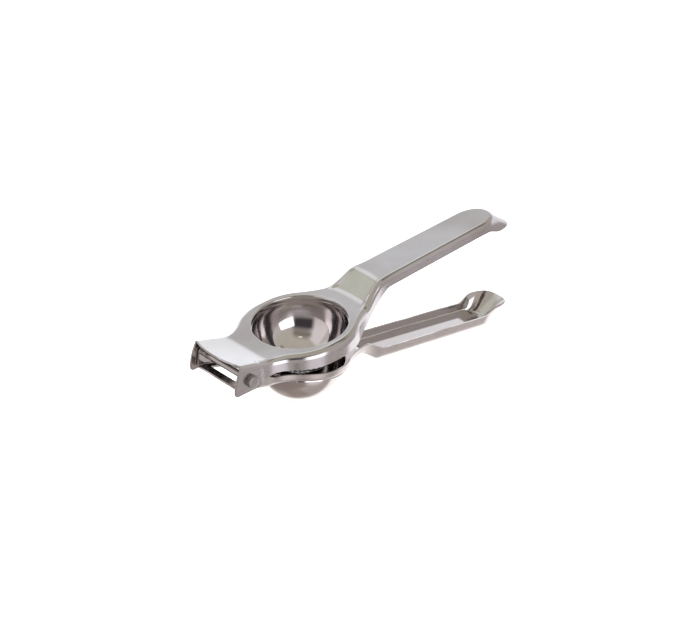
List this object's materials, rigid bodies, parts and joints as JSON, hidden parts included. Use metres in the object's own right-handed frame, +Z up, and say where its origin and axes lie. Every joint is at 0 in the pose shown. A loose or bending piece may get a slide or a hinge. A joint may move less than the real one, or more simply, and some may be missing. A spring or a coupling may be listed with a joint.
{
  "type": "citrus press juicer",
  "caption": "Hand-held lemon squeezer: two pressed-steel lever arms hinged at the nose, the upper with a press cup and the lower with a strainer bowl, both with channel handles.",
  "frame": {"origin": "centre of the bounding box at its bottom, on the surface the press stands on", "axes": "+X from the hinge to the handle tips, +Y across the width, +Z up"},
  "size_m": [0.2222, 0.0676, 0.0714],
  "materials": {
    "upper_steel": "satin stamped stainless sheet, faint lengthwise grain, mirror-like bends",
    "cup_steel": "deep-drawn and mirror polished, faint turning rings",
    "lower_steel": "semi-bright stamped stainless sheet with drawn streaks",
    "bowl_steel": "spun outside, bright inside",
    "pin_steel": "matte riveted head with a turned shank"
  },
  "bodies": {
    "lower": {"lower_arm": "lower_steel", "strainer_bowl": "bowl_steel"},
    "upper": {"upper_arm": "upper_steel", "press_cup": "cup_steel", "hinge_pin": "pin_steel"}
  },
  "joints": [
    {"name": "press_hinge", "type": "hinge", "parent": "lower", "child": "upper", "pos_m": [-0.10012, 0, 0.0355], "axis": [0, -1, 0], "range_deg": [-11.2, 110]}
  ]
}
